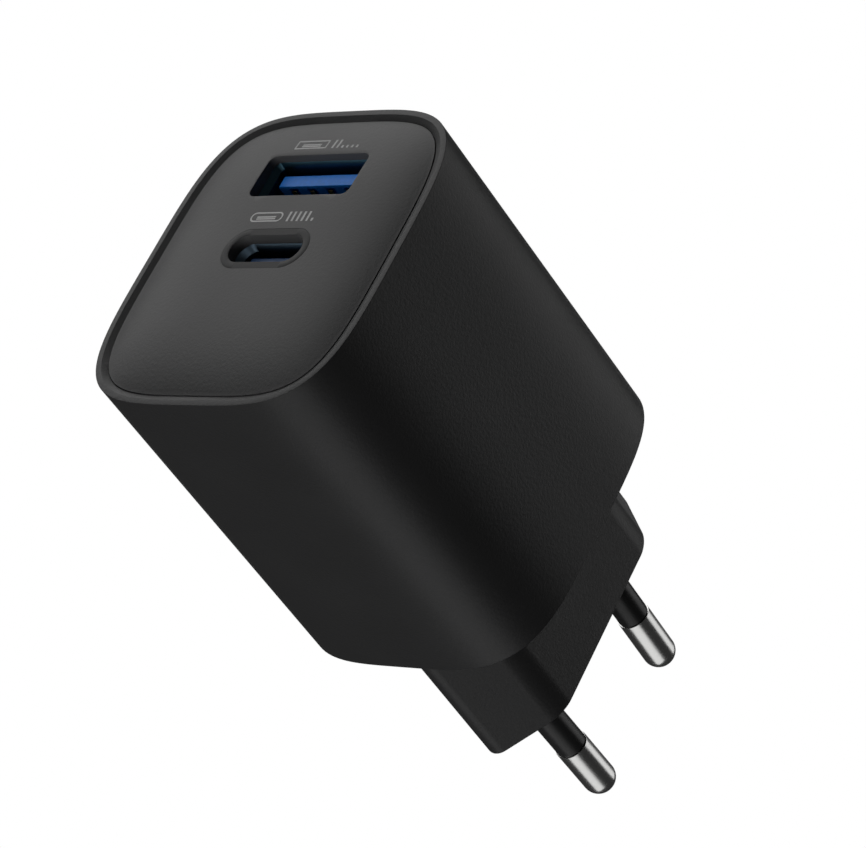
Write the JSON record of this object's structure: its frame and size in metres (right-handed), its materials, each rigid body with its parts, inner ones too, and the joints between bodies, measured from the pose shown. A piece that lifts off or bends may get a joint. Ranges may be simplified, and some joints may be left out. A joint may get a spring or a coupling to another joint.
{
  "type": "usb wall charger",
  "caption": "Soft-cornered mains charger with a hexagonal plug block, half-sleeved round pins and a crowned face holding a USB-A port above a USB-C port.",
  "frame": {"origin": "centre of the plug block's front face, the face that meets the socket", "axes": "+Y runs into the wall along the pins, +Z points from the USB-C port to the USB-A port, and -Y is the way the ports face"},
  "size_m": [0.0342, 0.0836, 0.04],
  "materials": {
    "housing_plastic": "fine moulded grain, satin black",
    "cover_plastic": "fine moulded grain, dark grey-black",
    "collar_plastic": "satin black",
    "sleeve_plastic": "smooth satin black",
    "blue_plastic": "bright blue moulded tongue",
    "nickel_plate": "bright nickel plate with fine turning lines",
    "port_steel": "stamped and plated sheet",
    "gold_plate": "gold flash over spring bronze",
    "copper": "bare and enamelled copper",
    "can_aluminium": "drawn can and rolled sheet",
    "board_laminate": "green solder mask",
    "ferrite": "ground grey-black ferrite",
    "winding_tape": "yellow polyester tape",
    "moulded_epoxy": "matte moulding compound",
    "can_sleeve": "shrunk film sleeve",
    "disc_lacquer": "dipped blue lacquer",
    "box_resin": "pale moulded box",
    "thermal_pad": "soft grey silicone",
    "film": "milky insulating film"
  },
  "bodies": {
    "charger": {"housing_shell": "housing_plastic", "front_cover": "cover_plastic", "usb_c_collar": "collar_plastic", "plug_base": "housing_plastic", "pin_upper": "nickel_plate", "pin_lower": "nickel_plate", "pin_sleeve_upper": "sleeve_plastic", "pin_sleeve_lower": "sleeve_plastic", "pin_contact_upper": "copper", "pin_contact_lower": "copper", "usb_a_shell": "port_steel", "usb_a_tongue": "blue_plastic", "usb_a_tail_1": "gold_plate", "usb_a_tail_2": "gold_plate", "usb_a_tail_3": "gold_plate", "usb_a_tail_4": "gold_plate", "usb_c_shell": "port_steel", "usb_c_tongue": "blue_plastic", "port_board": "board_laminate", "output_capacitor_1": "can_aluminium", "output_capacitor_2": "can_aluminium", "buck_inductor": "ferrite", "usb_controller": "moulded_epoxy", "main_board": "board_laminate", "board_header": "moulded_epoxy", "transformer_core_a": "ferrite", "transformer_core_b": "ferrite", "transformer_bobbin": "moulded_epoxy", "transformer_winding": "winding_tape", "bulk_capacitor_1": "can_sleeve", "bulk_capacitor_2": "can_sleeve", "bulk_capacitor_3": "can_sleeve", "y_capacitor": "disc_lacquer", "x_capacitor": "box_resin", "fuse": "moulded_epoxy", "choke_core": "ferrite", "choke_winding_a": "copper", "choke_winding_b": "copper", "power_switch": "moulded_epoxy", "sync_rectifier": "moulded_epoxy", "controller_chip": "moulded_epoxy", "optocoupler": "moulded_epoxy", "bridge_rectifier": "moulded_epoxy", "thermal_pad_left": "thermal_pad", "thermal_pad_right": "thermal_pad", "heat_spreader_left": "can_aluminium", "heat_spreader_right": "can_aluminium", "insulation_sheet": "film"},
    "contact_1": {"usb_a_contact_1": "gold_plate"},
    "contact_2": {"usb_a_contact_2": "gold_plate"},
    "contact_3": {"usb_a_contact_3": "gold_plate"},
    "contact_4": {"usb_a_contact_4": "gold_plate"}
  },
  "joints": [
    {"name": "contact_1_flex", "type": "hinge", "parent": "charger", "child": "contact_1", "pos_m": [-0.00375, -0.0529, 0.01073], "axis": [-1, 0, 0], "range_deg": [0, 3.7], "stiffness_Nm_per_rad": 0.1},
    {"name": "contact_2_flex", "type": "hinge", "parent": "charger", "child": "contact_2", "pos_m": [-0.00125, -0.0529, 0.01073], "axis": [-1, 0, 0], "range_deg": [0, 3.7], "stiffness_Nm_per_rad": 0.1},
    {"name": "contact_3_flex", "type": "hinge", "parent": "charger", "child": "contact_3", "pos_m": [0.00125, -0.0529, 0.01073], "axis": [-1, 0, 0], "range_deg": [0, 3.7], "stiffness_Nm_per_rad": 0.1},
    {"name": "contact_4_flex", "type": "hinge", "parent": "charger", "child": "contact_4", "pos_m": [0.00375, -0.0529, 0.01073], "axis": [-1, 0, 0], "range_deg": [0, 3.7], "stiffness_Nm_per_rad": 0.1}
  ]
}
